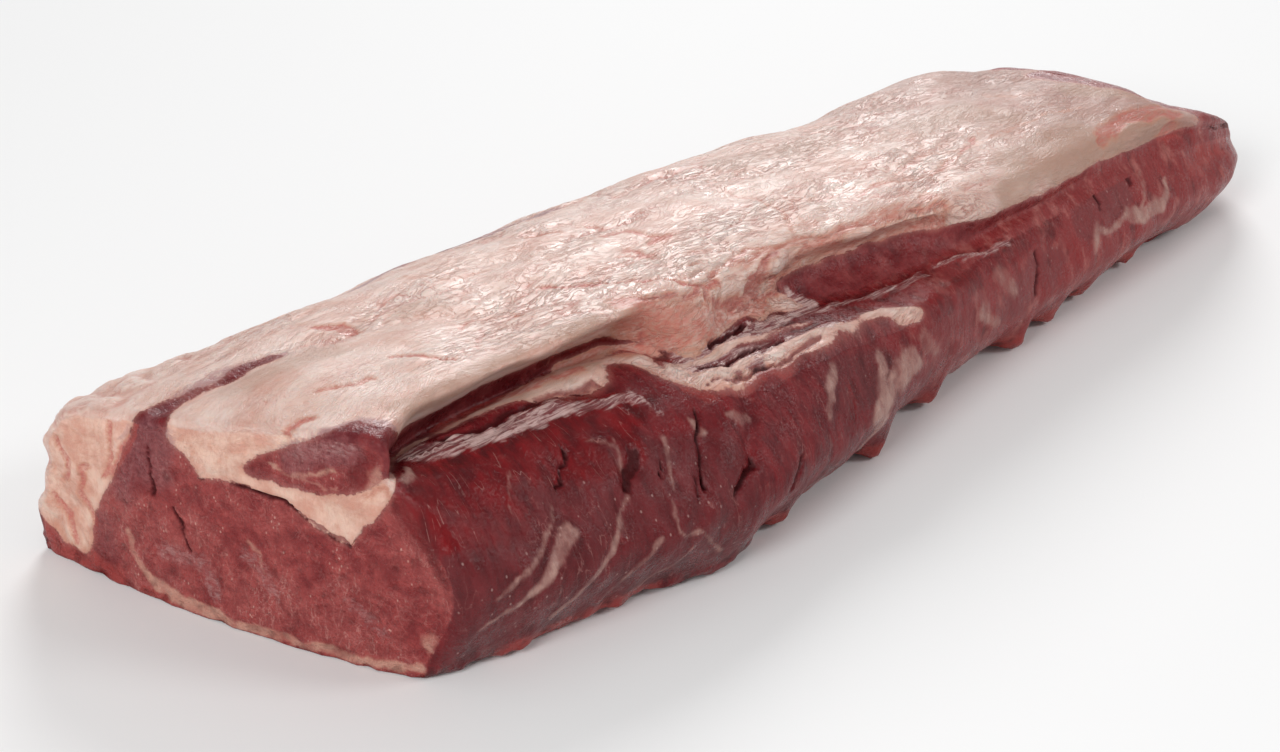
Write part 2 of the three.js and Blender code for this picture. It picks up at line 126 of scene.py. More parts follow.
def along(knots, stations, column):
    """Cubic through the knots with limited slopes, at many stations."""
    knots = np.array(knots, float)
    at, value = knots[:, 0], knots[:, column]
    rise = np.diff(value) / np.diff(at)
    slope = np.concatenate([rise[:1], np.zeros(len(at) - 2), rise[-1:]])
    before, after = rise[:-1], rise[1:]
    same = before * after > 0
    total = np.where(same, before + after, 1)
    slope[1:-1] = np.where(same, 2 * before * after / total, 0)
    x = np.clip(stations, at[0], at[-1])
    i = np.clip(np.searchsorted(at, x, side="right") - 1, 0, len(at) - 2)
    h = at[i + 1] - at[i]
    t = (x - at[i]) / h
    start = value[i] + t * h * slope[i]
    end = value[i + 1] - (1 - t) * h * slope[i + 1]
    return start + (end - start) * t * t * (3 - 2 * t)


def spline_span(p0, p1, p2, p3, t):
    """Centripetal Catmull-Rom between p1 and p2; points are (rings, 2), t is (count,)."""
    d0, d1, d2 = (
        np.maximum(np.linalg.norm(b - a, axis=1), 1e-6)[:, None] ** 0.5
        for a, b in ((p0, p1), (p1, p2), (p2, p3))
    )
    m1 = ((p1 - p0) / d0 - (p2 - p0) / (d0 + d1) + (p2 - p1) / d1) * d1
    m2 = ((p2 - p1) / d1 - (p3 - p1) / (d1 + d2) + (p3 - p2) / d2) * d1
    t = t[None, :, None]
    a, b, m1, m2 = p1[:, None], p2[:, None], m1[:, None], m2[:, None]
    return a + m1 * t + (3 * (b - a) - 2 * m1 - m2) * t**2 + (2 * (a - b) + m1 + m2) * t**3


def outlines(stations):
    """Section outlines as (rings, points, 2), and where each point lies between the rails."""
    at = np.minimum(stations, RAIL_END)
    rails = [np.stack([along(r, at, 1), along(r, at, 2)], axis=1) for r in RAILS]
    keys = [np.stack([rails[0][:, 0] + FOOT_TUCK, at * 0], axis=1), *rails]
    count = len(keys)
    parts, places = [], []
    for i, n in enumerate(SPANS):
        t = np.arange(n) / n
        around = [keys[(i + k) % count] for k in (-1, 0, 1, 2)]
        parts.append(spline_span(*around, t))
        places.append(i + t)
    return np.concatenate(parts, axis=1), np.concatenate(places)


def coarse_relief(s, y, z):
    """The relief that the solids have too."""
    height = sum(a * np.sin(s * ks + (y + z) * ky + phase) for a, ks, ky, phase in WAVES)
    band = bump(z - CREASE_Z, CREASE_HALF)
    side = np.zeros_like(s)
    for at, depth, width in CREASES:
        side -= depth * band * bump(s - at - CREASE_SLANT * (z - CREASE_Z), width)
    for at, size in FINGERS:
        side += size * bump(z - FINGER_Z, FINGER_HALF) * bump(s - at, FINGER_WIDTH)
    height += np.where(y < NEAR_Y, side, 0)
    t = s / VALLEY_END
    valley = -VALLEY_DEPTH * (1 - smoothstep(t, 0.5, 1)) * bump(y - (28 - 14 * t), VALLEY_WIDTH)
    height += np.where(z > TOP_Z, valley, 0)
    lump = np.cos(2 * np.pi * s / LUMP_LONG) * np.cos(2 * np.pi * z / LUMP_HIGH)
    lump = LUMP_HEIGHT * (1 - smoothstep(s, *LUMPS_FADE)) * lump
    return height + np.where((y > LEFT_Y) & (z > LUMPS_Z), lump, 0)


def dome(s, y, z):
    near = np.maximum(0, 1 - s / DOME_REACH)
    across = np.maximum(0, 1 - (y / DOME_HALF_WIDTH) ** 2)
    return DOME_DEPTH * near * across * np.clip(1 - z / DOME_HEIGHT, 0, 1)


def placed(s, y, z):
    """Points of the joint, in millimetres of the shared frame."""
    slant = SHEAR * (1 - smoothstep(s, 0, SHEAR_FADE))
    return np.stack([s - slant * y - dome(s, y, z), y, z], axis=-1) + CENTRE


def ring_stations():
    stations = [0.0, *RIM_STATIONS]
    while stations[-1] < TIP_FROM:
        share = stations[-1] / TIP_FROM
        stations.append(stations[-1] + PITCH_NEAR + (PITCH_FAR - PITCH_NEAR) * share)
    stations[-1] = TIP_FROM
    end = math.asin(TIP_SHARE)
    for i in range(1, TIP_RINGS + 1):
        stations.append(TIP_FROM + (TIP_TO - TIP_FROM) * math.sin(end * i / TIP_RINGS))
    return np.array(stations)


def tip_scale(s, power):
    t = np.clip((s - TIP_FROM) / (TIP_TO - TIP_FROM), 0, 1)
    return (1 - t**power) ** (1 / power)


def skin_rings():
    """(station, y, z, place between the rails) of each ring's points, each (rings, points)."""
    stations = ring_stations()
    ring, places = outlines(stations)
    y, z = ring[..., 0], np.maximum(ring[..., 1], 0)
    s = np.repeat(stations[:, None], y.shape[1], axis=1)
    dy = np.roll(y, -1, 1) - np.roll(y, 1, 1)
    dz = np.roll(z, -1, 1) - np.roll(z, 1, 1)
    length = np.hypot(dy, dz)
    height = coarse_relief(s, y, z) * smoothstep(z, 0.2, FOOT_FADE)
    radius = RIM_ROUND + RIM_SIDE_ROUND * bump(places[None] - 2, 1.2)
    left = np.clip(1 - s / radius, 0, 1)
    height -= radius * (1 - np.sqrt(1 - left**2)) * smoothstep(z, 0, FOOT_FADE)
    y, z = y - height * dz / length, np.maximum(z + height * dy / length, 0)
    y = TIP_Y + (y - TIP_Y) * tip_scale(s, TIP_SIDE_ROUND)
    z = TIP_Z + (z - TIP_Z) * tip_scale(s, TIP_TOP_ROUND)
    return s, y, z, np.repeat(places[None], len(stations), axis=0)


def inside(points, ring):
    """Which points lie in the closed ring."""
    a, b = ring, np.roll(ring, -1, axis=0)
    y, z = points[:, :1], points[:, 1:]
    rising = (a[:, 1] > z) != (b[:, 1] > z)
    step = np.where(b[:, 1] == a[:, 1], 1, b[:, 1] - a[:, 1])
    crossing = a[:, 0] + (z - a[:, 1]) / step * (b[:, 0] - a[:, 0])
    return ((rising & (y < crossing)).sum(axis=1) % 2) == 1


def cut_face(ring):
    """Triangles of the cut face: points on an even grid inside the first ring, joined up."""
    low, high = ring.min(0), ring.max(0)
    rows = np.arange(low[1] + FACE_PITCH / 2, high[1], FACE_PITCH * ROW_SHARE)
    grid = [
        (y + (k % 2) * FACE_PITCH / 2, z)
        for k, z in enumerate(rows)
        for y in np.arange(low[0], high[0], FACE_PITCH)
    ]
    grid = np.array(grid)
    gap = np.min(np.linalg.norm(grid[:, None] - ring[None], axis=2), axis=1)
    grid = grid[inside(grid, ring) & (gap > FACE_PITCH * RIM_SHARE)]
    count = len(ring)
    points = [Vector(p) for p in np.concatenate([ring, grid]).tolist()]
    edges = [(i, (i + 1) % count) for i in range(count)]
    made = delaunay_2d_cdt(points, edges, [], 1, 1e-6)
    first = [sources[0] for sources in made[3]]
    faces = [[first[i] for i in face] for face in made[2]]
    return grid, faces


def build_skin():
    """The whole closed skin as a mesh, and its chart coordinates in millimetres."""
    s, y, z, v = skin_rings()
    rings, width = s.shape
    grid, end_faces = cut_face(np.stack([y[0], z[0]], axis=1))
    faces = []
    for r in range(rings - 1):
        for i in range(width):
            a, b = r * width + i, r * width + (i + 1) % width
            faces.append((a, b, b + width, a + width))
    first = rings * width
    faces += [tuple(i if i < width else first + i - width for i in f) for f in end_faces]
    tip = first + len(grid)
    last = (rings - 1) * width
    faces += [(last + i, last + (i + 1) % width, tip) for i in range(width)]
    chart = {
        "s": np.concatenate([s.ravel(), grid[:, 0] * 0, [TIP_TO]]),
        "y": np.concatenate([y.ravel(), grid[:, 0], [TIP_Y]]),
        "z": np.concatenate([z.ravel(), grid[:, 1], [TIP_Z]]),
        "v": np.concatenate([v.ravel(), grid[:, 0] * 0 - 1, [8.0]]),
    }
    points = placed(chart["s"], chart["y"], chart["z"])
    points[-1] = points[last : last + width].mean(0)
    mesh = bpy.data.meshes.new("skin")
    mesh.from_pydata((points * MM).tolist(), [], faces)
    mesh.update()
    bm = bmesh.new()
    bm.from_mesh(mesh)
    bmesh.ops.recalc_face_normals(bm, faces=bm.faces)
    bm.to_mesh(mesh)
    bm.free()
    return mesh, chart


# ---- Noise ----

LATTICE = 32
NOISE_ORIGIN, NOISE_GAIN, OCTAVE_SCALE, OCTAVE_SHIFT = 100.37, 1.6, 2.03, 17.1
GRADIENTS = np.random.default_rng(11).normal(size=(LATTICE, LATTICE, LATTICE, 3))
GRADIENTS /= np.linalg.norm(GRADIENTS, axis=3, keepdims=True)


def noise(points, size, octaves=1, gain=0.5):
    """Gradient noise from about -1 to 1. Size is a feature's width, or one for each axis."""
    total, weight, reach = 0.0, 1.0, 0.0
    at = points / np.asarray(size, float) + NOISE_ORIGIN
    for _ in range(octaves):
        cell = np.floor(at).astype(int)
        part = at - cell
        fade = part**3 * (part * (part * 6 - 15) + 10)
        value = 0.0
        for corner in np.ndindex(2, 2, 2):
            index = (cell + corner) % LATTICE
            slope = GRADIENTS[index[:, 0], index[:, 1], index[:, 2]]
            share = np.prod(np.where(corner, fade, 1 - fade), axis=1)
            value = value + share * ((part - corner) * slope).sum(axis=1)
        total = total + weight * value * NOISE_GAIN
        reach += weight
        weight *= gain
        at = at * OCTAVE_SCALE + OCTAVE_SHIFT
    return total / reach**0.5


def ridges(points, size, octaves=2):
    """Thin raised lines, from 0 to 1."""
    return (1 - np.minimum(np.abs(noise(points, size, octaves)) * 1.6, 1)) ** 2


# ---- Fields on the skin ----

FAT_NODES = ("fat_cap", "seam_fat", "ledge_fat")
FAT_ROUNDS, STRIP_ROUNDS, CUT_ROUNDS = 6, 5, 2  # rounds of smoothing over the mesh's edges
BEIGE_CALM = 0.85  # how much of the wrinkles the smooth cream fat takes away
LOOK_FROM, LOOK_DEPTH = 3.0, 9.0
WARP_SIZE, WARP_REACH = 8, 1.5


def new_object(name, data):
    made = bpy.data.objects.new(name, data)
    bpy.context.scene.collection.objects.link(made)
    return made


def vertex_array(mesh, what):
    values = np.zeros(len(mesh.vertices) * 3)
    mesh.vertices.foreach_get(what, values)
    return values.reshape(-1, 3)


def edge_pairs(mesh):
    pairs = np.zeros(len(mesh.edges) * 2, int)
    mesh.edges.foreach_get("vertices", pairs)
    return pairs.reshape(-1, 2)


def spread(values, pairs, rounds):
    """Values smoothed over the mesh's edges."""
    a, b = pairs.T
    count = np.bincount(a, minlength=len(values)) + np.bincount(b, minlength=len(values))
    for _ in range(rounds):
        total = np.bincount(a, values[b], len(values)) + np.bincount(b, values[a], len(values))
        values = (values + total / np.maximum(count, 1)) / 2
    return values


def warp_at(points):
    """Shift that makes the borders between fat and lean uneven."""
    shifts = [noise(points + shift, WARP_SIZE, 3) for shift in (0, 31.0, 71.0)]
    return np.stack(shifts, axis=1) * WARP_REACH


def tree_of(nodes):
    """Search tree of several solids' faces in millimetres, and the solid of each face."""
    corners, faces, names, first = [], [], [], 0
    for name in nodes:
        mesh = frame["nodes"][name].data
        corners.append(vertex_array(mesh, "co") / MM)
        faces += [[first + i for i in polygon.vertices] for polygon in mesh.polygons]
        names += [name] * len(mesh.polygons)
        first += len(mesh.vertices)
    return BVHTree.FromPolygons(np.concatenate(corners).tolist(), faces), names


def nodes_seen(points, normals):
    """For each point of the skin, the name of the solid that lies there."""
    tree, names = tree_of(frame["nodes"])
    seen = []
    for p, n in zip((points + normals * LOOK_FROM).tolist(), (-normals).tolist()):
        index = tree.ray_cast(p, n, LOOK_DEPTH)[2]
        seen.append("eye_muscle" if index is None else names[index])
    return np.array(seen)


def tree_of_points(points):
    tree = KDTree(len(points))
    for i, point in enumerate(points.tolist()):
        tree.insert(point, i)
    tree.balance()
    return tree


def distance_to(points, a, b):
    """Distance of each (a, b) to the line through points such as "65,59" in the same chart."""
    line = np.array([point.split(",") for point in points], float)
    best = np.full(len(a), 1e9)
    ends = zip(line[:-1], line[1:]) if len(line) > 1 else [(line[0], line[0])]
    for p, q in ends:
        step = q - p
        length = max(step @ step, 1e-9)
        t = np.clip(((a - p[0]) * step[0] + (b - p[1]) * step[1]) / length, 0, 1)
        best = np.minimum(best, np.hypot(a - p[0] - t * step[0], b - p[1] - t * step[1]))
    return best


# What is painted where, for each field and chart: strength, radius and the points of a line. The
# side and back charts' points are station,z, the top one's station,y, the face one's y,z and the
# trough's station,place, with TROUGH_STEP millimetres from a guide rail to the next.
STROKES = {
    ("deep", "side"): [  # dark red, glossy lean
        "1 8 -4,62 19,62 37,62 62,61 90,60", "1 6 -3,55 15,55 27,52", "0.8 4 12,50 31,50",
        "0.9 3.5 65,63 93,61 102,61", "0.6 5 250,48 300,46 340,44", "0.85 2.6 199,41 195,37 193,33",
    ],
    ("deep", "trough"): ["0.9 2 96,46 112,46 126,47"],
    ("purple", "trough"): ["0.8 4 10,42 50,41 96,42"],
    ("deep", "top"): [
        "0.7 5 214,-58 240,-62 262,-64", "1 3 163,-58 184,-53", "1 3.5 198,-66 212,-68 224,-70",
    ],
    ("deep", "face"): [
        "0.9 6 -64,66 -71,56 -79,46 -84,36", "0.7 3 -50,82 -57,76", "0.7 4.5 -53,73 -48,66",
    ],
    ("purple", "side"): [  # grey-purple membrane
        "1 14 4,36 30,36 60,40 90,42 122,38", "0.9 8 46,48 66,52 96,50", "0.8 12 10,14 60,15 118,18",
        "0.8 9 192,42 216,38", "0.7 9 356,40 384,42", "0.6 10 296,30 334,34", "0.9 5 5,46 16,45",
    ],
    ("purple", "face"): ["0.6 6 48,21 46,9"],
    ("mauve", "top"): [  # pale purple skin of the lean
        "0.7 3.4 -2,29 12,29 22,26 32,23 40,17", "0.9 3 90,44 112,48", "1 4.5 112,49 138,50",
        "0.8 3 138,49 160,46 180,41", "0.9 5 0,-40 6,-44 8,-50",
    ],
    ("mauve", "face"): ["1 8 26,70 27,58 27,48", "0.7 6 34,50 38,36", "1 5 -26,67 -36,72 -48,75"],
    ("film", "side"): [  # beige skins and fat left on the lean
        "0.8 1.7 46,43 41,41", "0.8 1.8 41,41 34,36 21,29", "0.55 1.3 21,29 14,24 6,21",
        "0.5 0.8 45,49 38,45 31,41", "0.6 1.2 31,41 19,37 9,32", "0.65 1.4 68,39 60,35 54,31",
        "0.6 1.9 54,31 44,25 36,14", "0.6 1.4 80,32 74,27 66,19", "0.45 1.6 66,19 60,11",
        "0.5 1.3 97,22 86,14 80,7", "0.55 0.9 91,40 88,34 92,30 100,28 109,22 118,14",
        "0.45 0.7 38,61 33,57 28,53", "0.5 0.6 74,60 86,56.5", "0.5 0.8 86,56 81,50 74,44 68,39",
        "0.45 0.8 106,55 100,49 94,43", "0.8 1.5 121,55 124,52", "0.6 1.3 136,53 146,50",
        "0.8 1.8 191,48 186,44 181,38", "0.9 4.5 232,36 222,33 208,28", "0.7 3 217,43 214,34",
        "0.7 3 212,24 204,15", "0.6 2.6 240,42 246,34", "0.7 2.8 280,36 288,26", "0.5 3 296,42 302,34",
        "0.55 2 362,37 356,30", "0.8 2.4 383,34 392,31.5 407,30", "0.7 1.3 407,30 414,33 416,37",
        "0.6 1.2 392,32 398,36 402,40", "0.6 1.6 365,35 374,33 383,34", "0.6 1.6 401,44 400,39",
    ],
    ("film", "trough"): ["0.9 1.3 5,31.5 10,30.6", "0.8 0.9 10,30.6 14,32"],
    ("film", "face"): [
        "1 1.6 38,21 36,16 31,9 22,4.6 12,3.6 0,4", "0.9 1.7 20,3 8,2.6 -14,2.4 -36,2 -56,2.4 -72,4",
        "0.7 3 -72,16 -76,11 -85,17", "0.5 0.7 -10,32 -14,29 -18,24",
        "0.7 0.8 -17,63 -25,62 -34,64 -41,67", "0.6 0.6 -25,62 -33,60.5 -42,61",
        "0.7 3.4 -56,70 -55,63 -50,56",
    ],
    ("silver", "side"): ["0.5 1.8 109,62 111,60"],
    ("silver", "top"): [  # white wrinkled skin
        "0.95 4.4 22,-50 31,-52.5 43,-54 59,-56 80,-57.5", "0.75 3 80,-59 93,-62 102,-65 109,-69",
        "0.8 2.2 209,-48 213,-53", "0.95 5 136,-64 150,-68 165,-70 185,-71",
        "0.8 2.5 185,-71 206,-72.5", "0.95 3.4 142,-60 164,-60 179,-58 195,-57",
        "0.8 2.4 195,-57 212,-55", "0.6 2.2 200,-60 217,-61 240,-64 262,-65",
        "0.6 1.4 268,-63 290,-66 310,-66",
    ],
    # On the cut face these strokes are painted highlights: wet glints on the lean.
    ("silver", "face"): [
        "0.55 4 22,20 13,19 4,18 2,12", "0.5 3 -9,28 -16,25 -19,17", "0.5 3.4 -28,69 -37,73 -46,77",
        "0.45 3.2 -46,22 -52,18 -57,15",
    ],
    ("shaded_crack", "side"): [  # creases and cracks, carved in and darkened with painted shade
        "0.8 0.6 65,59 60,57 56,54 51,53", "1 1 90,54 85,51 82,50 77,47", "0.9 0.6 96,50 93,48",
        "1 0.9 125,56 121,52 118,50 114,46 111,40", "0.9 0.8 108,44 105,39",
        "1 1 137,41 132,39 127,35 124,34", "0.7 0.7 160,34 152,26", "0.7 0.8 371,52 369,47 368,42",
        "0.6 0.8 392,47 393,43", "0.6 0.8 322,40 316,28",
    ],
    ("shaded_crack", "trough"): ["0.8 0.7 36,31 52,31 70,31 92,30 104,30"],
    ("shaded_crack", "top"): [
        "1 1 156,-60 166,-58 179,-55.5", "0.9 0.8 143,-66.5 155,-68 173,-66.5 184,-67",
        "1 0.9 150,-75.5 164,-76 183,-75 197,-74.5", "0.8 0.6 138,-73 148,-74",
        "0.45 0.8 133,-46 150,-49 169,-50 188,-48 205,-45", "0.5 2.5 438,-36 438,-43",
    ],
    ("shaded_crack", "face"): [
        "1 0.7 -3,52 -18,52 -27,50 -37,45 -45,41.5", "0.7 0.45 28,54 28,45 26,38",
        "0.7 0.5 17,36 16,30 13,21",
    ],
    ("rose", "side"): [  # bright red and pink
        "0.9 6 24,2 60,2 90,1", "0.9 6 150,2 230,2 330,3 410,4", "0.6 6 438,34 455,36 470,34",
        "0.55 1.8 128,60 142,57 160,55 176,54",
    ],
    ("rose", "trough"): [
        "1 2.2 46,37 60,38.5 72,37 85,35 94,37 99,38", "0.9 1.5 85,34.5 96,34 106,32.5",
        "0.8 3.2 106,40 118,39 130,42",
    ],
    ("rose", "top"): [
        "0.8 2 164,-1 173,-4 173,-14 179,-17", "0.8 1.8 161,-14 164,-20 164,-26",
        "0.8 2.4 217,-47 241,-48 260,-51 282,-55", "0.9 2 381,-52 402,-49 418,-49 438,-50",
        "1 2.4 2,-25 6,-27", "1 2 60,25 65,18 65,12", "0.9 1.3 47,-19 53,-26 53,-30 56,-36",
        "0.8 1.5 20,-18 28,-24 34,-27", "0.8 1.3 77,-20 87,-17 93,-20 99,-27", "0.5 6 84,-2 94,-10",
        "1 1.3 121,-14 127,-20 139,-27 148,-36 161,-47 173,-47", "0.8 1.6 148,21 158,15",
        "0.8 1.4 167,12 170,6", "0.8 1.6 170,-17 180,-17", "0.8 1.6 157,-17 167,-23",
        "0.6 1.6 103,30 108,15 121,12", "0.7 1.3 226,2 223,-14 226,-26 220,-36 217,-43",
        "0.8 1.3 170,-45 195,-38 204,-42", "0.8 1.3 258,-36 275,-33 288,-38 300,-37 319,-34 334,-26",
        "0.6 1.2 306,-22 319,-30 340,-30 362,-29 377,-29 396,-32", "0.5 2.5 377,2 381,-5 390,-9",
        "0.8 6 128,-45 142,-53 158,-56", "0.8 3 158,-54 186,-50 196,-49",
        "0.75 2.2 183,-42 213,-44 238,-46 260,-48 284,-50", "0.85 3 384,-49 402,-46 421,-46 438,-45",
        "0.9 1 133,-46 150,-49 169,-50 188,-48 205,-45", "0.8 0.9 128,-50 146,-53 166,-53.5",
    ],
    ("rose", "face"): [
        "0.7 5 74,8 60,4 44,3", "0.7 2.5 30,2 0,1.5 -40,1.5 -76,3", "1 1.6 33,63 35,54 41,46 44,40",
        "0.9 1.3 42,58 44,48 47,38", "0.95 1.7 66,46 60,40 64,31", "0.9 1.5 54,40 56,28 51,19",
        "0.95 1.6 70,22 62,18 60,9", "0.7 1.5 -52,62 -58,66 -60,62",
    ],
    ("beige", "top"): [  # smooth cream fat
        "0.75 9 332,-48 356,-47 376,-45", "0.7 9 328,-5 353,-8 362,-20", "0.8 8 411,-16 424,-29",
        "0.6 9 250,20 290,12", "0.6 7 84,6 93,-4", "0.6 9 20,12 44,4",
        "0.8 3 20,-46 40,-46 70,-46 112,-48", "0.8 3.5 312,-58 360,-55 430,-49",
        "0.7 6 126,-46 140,-54 156,-58",
    ],
    ("film", "back"): [
        "0.5 1.2 28,4 40,12 58,17", "0.5 1.6 96,6 112,14 126,24", "0.45 0.9 150,8 162,15 168,24",
        "0.5 1.3 196,5 210,14 232,20", "0.45 0.8 256,8 262,16 276,22", "0.5 1.5 300,6 316,13 326,22",
        "0.45 0.9 352,8 366,16 372,24", "0.5 1.2 396,5 408,13 424,18",
    ],
    ("purple", "back"): ["1 9 60,14 120,12 180,16", "0.9 8 270,18 330,14", "0.9 10 440,22 470,16"],
    ("rose", "back"): ["0.9 5 20,2 120,2 220,2 320,2 420,3"],
    ("bare", "trough"): ["1 3.2 6,41 60,39.5 98,41"],
    ("bare", "top"): [
        "1 1.5 163,-58 174,-55.5 184,-53", "0.9 1.6 204,-69.5 218,-71",
        "1 5.5 416,4 424,-15 432,-27 442,-36 453,-41", "1 9 434,6 446,-14 456,-30",
    ],
    ("bare", "side"): [  # lean showing where the fat is thin
        "0.9 3.6 120,58 130,56 142,53.5 158,52.5 176,51.5 200,50 226,48",
    ],
    ("greasy", "top"): [  # fat that creeps over the lean
        "1 2 3,36 20,33.5 30,31 40,24", "1 2.6 6,21.5 12,23 19,20 24,16.4 31,16.4 40,11",
        "1 4 203,-48 206,-52", "1 4 44,19 50,13", "1 3.4 146,-57 163,-54.5 180,-51.5 197,-48.5",
        "0.9 1.5 134,-63 148,-63 167,-62 186,-62.5 201,-66",
        "0.9 1.7 140,-70.5 158,-71.5 179,-71 200,-72",
    ],
    ("greasy", "trough"): [
        "1 1.9 96,33 112,32.5 122,33 130,34", "0.9 3.2 106,40 118,39 130,41 137,44",
    ],
    ("greasy", "face"): ["1 4.6 75,34 74,20 71,15 64,12 57,12.5"],
    ("greasy", "back"): ["1 5 -4,22 6,20"],
    ("beige", "face"): ["0.8 20 60,50 60,12", "0.7 9 16,66 -10,60 -50,58"],
}
WOBBLE, WOBBLE_SIZE = 2.6, 11
FULL_AT, GONE_AT = 0.35, 1.65  # shares of the radius at which a stroke is full, and gone
SOFT_FIELDS, SOFT_ROUNDS = ("deep", "purple", "mauve", "beige"), 5
TROUGH_STEP = 8
COVERS = {  # places between the guide rails that each chart covers; the cut face's are all -1
    "side": (0, 3.7), "trough": (3, 6.4), "top": (2.6, 12), "back": (9.5, 99), "face": (-9, 0),
}


def chart_pair(name, wobble):
    """The two coordinates of a chart for every vertex, and which vertices it covers."""
    s, y, z, v = (chart[key] for key in "syzv")
    first = {"face": y}.get(name, s) + wobble[0]
    low, high = COVERS[name]
    covers = (v >= low) & (v < high)
    if name == "trough":
        return first, TROUGH_STEP * v + wobble[1] / 2, covers
    return first, {"top": y}.get(name, z) + wobble[1], covers


def paint_fields(points):
    fields = {field: np.zeros(len(points)) for field, _ in STROKES}
    wobble = [noise(points + shift, WOBBLE_SIZE, 3) * WOBBLE for shift in (0, 57.0)]
    for (field, name), strokes in STROKES.items():
        a, b, covers = chart_pair(name, wobble)
        a, b = a[covers], b[covers]
        for stroke in strokes:
            strength, radius, *line = stroke.split()
            low, high = float(radius) * FULL_AT, float(radius) * GONE_AT
            fade = float(strength) * (1 - smoothstep(distance_to(line, a, b), low, high))
            fields[field][covers] = np.maximum(fields[field][covers], fade)
    return fields


def skin_fields(mesh):
    points, normals = vertex_array(mesh, "co") / MM, vertex_array(mesh, "normal")
    pairs = edge_pairs(mesh)
    seen = nodes_seen(points + warp_at(points), normals)
    fields = paint_fields(points)
    for name in SOFT_FIELDS:
        fields[name] = spread(fields[name], pairs, SOFT_ROUNDS)
    fat = np.isin(seen, FAT_NODES) - fields.pop("bare") + fields["greasy"]
    fields["fat"] = spread(np.clip(fat, 0, 1), pairs, FAT_ROUNDS)
    fields["strip"] = spread((seen == "cap_muscle").astype(float), pairs, STRIP_ROUNDS)
    fields["cut"] = spread((chart["v"] < 0).astype(float), pairs, CUT_ROUNDS)
    fields["wrinkle"] = wrinkle_share(points) * (1 - BEIGE_CALM * fields["beige"])
    return fields


# ---- Fine relief ----

LOBULE = 13.0
NEAR_LUMPS, LEFT_LUMPS = (25, 70), (38, 52)  # station and y over which the lobules fade
FLOW_SIZE, FLOW_REACH = (70, 45, 45), 9.0  # how the wrinkles of the fat wander from side to side
HOLLOW_ROUNDS, HOLLOW_GAIN = 14, 1.6
FRINGE, UNDERCUT = 1.8, 3.0  # ragged lower edge, and how far it is cut in between the fingers
TIP_FILL, TIP_BULGE, BACK_BULGE = 2.3, 1.5, 3.2
SHELF, RIM, CAP = 2.6, 2.8, 6.2  # places where the ledge, its white skin and the fat cap begin


def wrinkle_share(points):
    """How wrinkled the fat is: smooth near the cut face, in patches farther on."""
    patches = smoothstep(noise(points, (55, 18, 26), 2), -0.45, 0.35)
    onset = smoothstep(chart["s"] + 0.5 * chart["y"], 20, 90)
    far = 1 - 0.45 * smoothstep(chart["s"], 270, 390)
    return (0.12 + 0.88 * patches) * (0.25 + 0.75 * onset) * far


def lobules(points):
    """Rounded lumps of fat, packed side by side, from 0 in their seams to 1."""
    rng = np.random.default_rng(5)
    low, high = points.min(0) - LOBULE, points.max(0) + LOBULE
    grid = np.stack(np.meshgrid(*(np.arange(a, b, LOBULE) for a, b in zip(low, high))), -1)
    middles = grid.reshape(-1, 3) + rng.uniform(-0.4, 0.4, (grid.size // 3, 3)) * LOBULE
    tree = tree_of_points(middles)
    gaps = [[found[2] for found in tree.find_n(point, 2)] for point in points.tolist()]
    first, second = np.array(gaps).T
    return smoothstep(second - first, 0, LOBULE * 0.55)


def fat_relief(points, fields):
    s, y, v = (chart[key] for key in "syv")
    flow = points + np.outer(noise(points, FLOW_SIZE, 2) * FLOW_REACH, (0, 1, 0))
    creases = 0.8 * ridges(flow, (20, 8, 8)) ** 2 + 0.35 * ridges(flow + 9, (9, 4, 4)) ** 2
    folds = 0.35 * noise(flow + 21, (17, 7, 7), 2)
    height = (1 - fields["cut"]) * fields["wrinkle"] * (folds - creases)
    height += 0.8 * noise(points, (34, 17, 17), 3)
    height += fields["cut"] * 0.7 * noise(points + 13, 10, 3)
    near_end = (1 - smoothstep(s, *NEAR_LUMPS)) * smoothstep(y, *LEFT_LUMPS)
    lumpy = near_end > 0
    lumps = np.zeros(len(s))
    warped = points[lumpy] + warp_at(points[lumpy]) * 1.5
    lumps[lumpy] = lobules(warped) - 0.6
    height += near_end * (lumps + 1.1 * noise(points + 3, 17, 2))
    height += 1.1 * fields["greasy"] * smoothstep(s, 120, 135) * (v > SHELF)
    fold = 0.9 * fields["cut"] + (v > CAP)
    return height - 0.7 * smoothstep(fields["rose"], 0.5, 1) * fold - 0.8 * fields["shaded_crack"]


def lean_relief(points, fields):
    s, v, cut = chart["s"], chart["v"], fields["cut"]
    side = 0.5 * noise(points, (7, 12, 14), 4) - 0.3 * fields["deep"]
    side += fields["silver"] * (v > RIM) * 1.6 * ridges(points + 5, (26, 4.0, 3.2))
    side += 0.5 * fields["film"]
    side += TIP_FILL * bump(v - 5.9, 0.9) * smoothstep(s, 434, 452)
    swelling = bump(v - 4.4, 1.2) * bump(s - 478, 14)
    side += TIP_BULGE * (swelling - bump(v - 7.7, 0.6) * bump(s - 470, 14))
    face = 0.7 * noise(points, 6, 4) + 0.5 * noise(points, 22, 2)
    return (1 - cut) * side + cut * face - (1.3 + 0.7 * (1 - cut)) * fields["shaded_crack"]


def fine_relief(points, fields):
    """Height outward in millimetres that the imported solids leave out."""
    fat = fields["fat"]
    height = fat * fat_relief(points, fields) + (1 - fat) * lean_relief(points, fields)
    s, y, z, v = (chart[key] for key in "syzv")
    fringe = FRINGE * (noise(points + 5, 7, 2) + 0.1) * bump(z - 2, 4)
    kept = sum(bump(s - at, FINGER_WIDTH * 1.2) for at, _ in FINGERS)
    low_side = (y < -40) * (v < 2) * (v >= 0)
    undercut = UNDERCUT * bump(z - 1, 5) * low_side * smoothstep(s, 120, 200)
    height += BACK_BULGE * bump(v - 8.7, 1.0) * bump(s - 426, 27)
    return height * smoothstep(z, 0.3, 3) + fringe - undercut * (1 - np.clip(kept, 0, 1))


